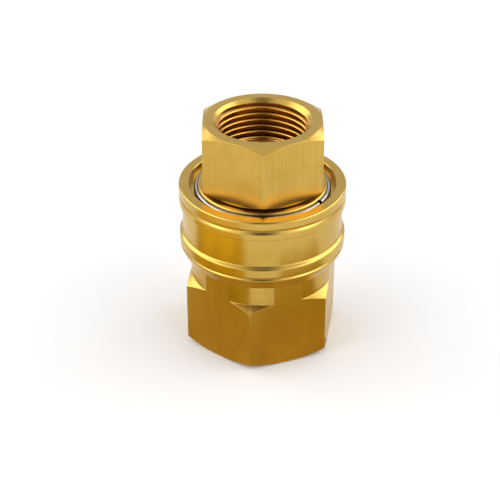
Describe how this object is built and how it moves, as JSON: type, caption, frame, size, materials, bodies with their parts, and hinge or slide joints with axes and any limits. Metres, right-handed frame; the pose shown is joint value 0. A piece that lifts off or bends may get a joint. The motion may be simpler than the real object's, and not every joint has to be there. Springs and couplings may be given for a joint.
{
  "type": "quick disconnect coupler",
  "caption": "Brass ball-lock quick disconnect coupler: a socket with a spring-loaded sliding sleeve, and a hexagonal plug locked in it, both ends with a female pipe thread.",
  "frame": {"origin": "centre of the socket's foot face, which the coupler stands on", "axes": "+Z along the coupler's axis, from the socket's foot to the plug's top; a corner of the plug's hexagon points to -Y"},
  "size_m": [0.0586, 0.0586, 0.085],
  "materials": {
    "socket_brass": "fine turned and milled brass, satin",
    "sleeve_brass": "fine turned brass, satin with bright edges",
    "plug_brass": "satin brass with faint brushed lines on the flats",
    "ball_steel": "polished hardened steel",
    "wire_steel": "bright drawn steel wire",
    "spring_steel": "drawn spring steel wire",
    "seal_rubber": "smooth black nitrile rubber",
    "backup_ptfe": "smooth white PTFE"
  },
  "bodies": {
    "socket": {"socket_body": "socket_brass", "snap_ring": "wire_steel", "o_ring": "seal_rubber", "backup_ring": "backup_ptfe", "sleeve_spring": "spring_steel"},
    "sleeve": {"sleeve": "sleeve_brass"},
    "plug": {"plug_body": "plug_brass"},
    "ball_01": {"locking_ball_01": "ball_steel"},
    "ball_02": {"locking_ball_02": "ball_steel"},
    "ball_03": {"locking_ball_03": "ball_steel"},
    "ball_04": {"locking_ball_04": "ball_steel"},
    "ball_05": {"locking_ball_05": "ball_steel"},
    "ball_06": {"locking_ball_06": "ball_steel"},
    "ball_07": {"locking_ball_07": "ball_steel"},
    "ball_08": {"locking_ball_08": "ball_steel"},
    "ball_09": {"locking_ball_09": "ball_steel"},
    "ball_10": {"locking_ball_10": "ball_steel"},
    "ball_11": {"locking_ball_11": "ball_steel"},
    "ball_12": {"locking_ball_12": "ball_steel"}
  },
  "joints": [
    {"name": "sleeve_slide", "type": "slide", "parent": "socket", "child": "sleeve", "axis": [0, 0, -1], "range_m": [0, 0.007], "stiffness_N_per_m": 3000, "springref_m": -0.006, "deforming": ["sleeve_spring"]},
    {"name": "plug_swivel", "type": "hinge", "parent": "socket", "child": "plug", "pos_m": [0, 0, 0.06135], "axis": [0, 0, 1], "continuous": true},
    {"name": "ball_01_slide", "type": "slide", "parent": "socket", "child": "ball_01", "axis": [1, 0, 0], "range_m": [0, 0.0011]},
    {"name": "ball_02_slide", "type": "slide", "parent": "socket", "child": "ball_02", "axis": [0.866, 0.5, 0], "range_m": [0, 0.0011]},
    {"name": "ball_03_slide", "type": "slide", "parent": "socket", "child": "ball_03", "axis": [0.5, 0.866, 0], "range_m": [0, 0.0011]},
    {"name": "ball_04_slide", "type": "slide", "parent": "socket", "child": "ball_04", "axis": [0, 1, 0], "range_m": [0, 0.0011]},
    {"name": "ball_05_slide", "type": "slide", "parent": "socket", "child": "ball_05", "axis": [-0.5, 0.866, 0], "range_m": [0, 0.0011]},
    {"name": "ball_06_slide", "type": "slide", "parent": "socket", "child": "ball_06", "axis": [-0.866, 0.5, 0], "range_m": [0, 0.0011]},
    {"name": "ball_07_slide", "type": "slide", "parent": "socket", "child": "ball_07", "axis": [-1, 0, 0], "range_m": [0, 0.0011]},
    {"name": "ball_08_slide", "type": "slide", "parent": "socket", "child": "ball_08", "axis": [-0.866, -0.5, 0], "range_m": [0, 0.0011]},
    {"name": "ball_09_slide", "type": "slide", "parent": "socket", "child": "ball_09", "axis": [-0.5, -0.866, 0], "range_m": [0, 0.0011]},
    {"name": "ball_10_slide", "type": "slide", "parent": "socket", "child": "ball_10", "axis": [0, -1, 0], "range_m": [0, 0.0011]},
    {"name": "ball_11_slide", "type": "slide", "parent": "socket", "child": "ball_11", "axis": [0.5, -0.866, 0], "range_m": [0, 0.0011]},
    {"name": "ball_12_slide", "type": "slide", "parent": "socket", "child": "ball_12", "axis": [0.866, -0.5, 0], "range_m": [0, 0.0011]}
  ],
  "couplings": [
    {"joint": "ball_01_slide", "follows": "sleeve_slide", "ratio": 0.15714},
    {"joint": "ball_02_slide", "follows": "sleeve_slide", "ratio": 0.15714},
    {"joint": "ball_03_slide", "follows": "sleeve_slide", "ratio": 0.15714},
    {"joint": "ball_04_slide", "follows": "sleeve_slide", "ratio": 0.15714},
    {"joint": "ball_05_slide", "follows": "sleeve_slide", "ratio": 0.15714},
    {"joint": "ball_06_slide", "follows": "sleeve_slide", "ratio": 0.15714},
    {"joint": "ball_07_slide", "follows": "sleeve_slide", "ratio": 0.15714},
    {"joint": "ball_08_slide", "follows": "sleeve_slide", "ratio": 0.15714},
    {"joint": "ball_09_slide", "follows": "sleeve_slide", "ratio": 0.15714},
    {"joint": "ball_10_slide", "follows": "sleeve_slide", "ratio": 0.15714},
    {"joint": "ball_11_slide", "follows": "sleeve_slide", "ratio": 0.15714},
    {"joint": "ball_12_slide", "follows": "sleeve_slide", "ratio": 0.15714}
  ]
}
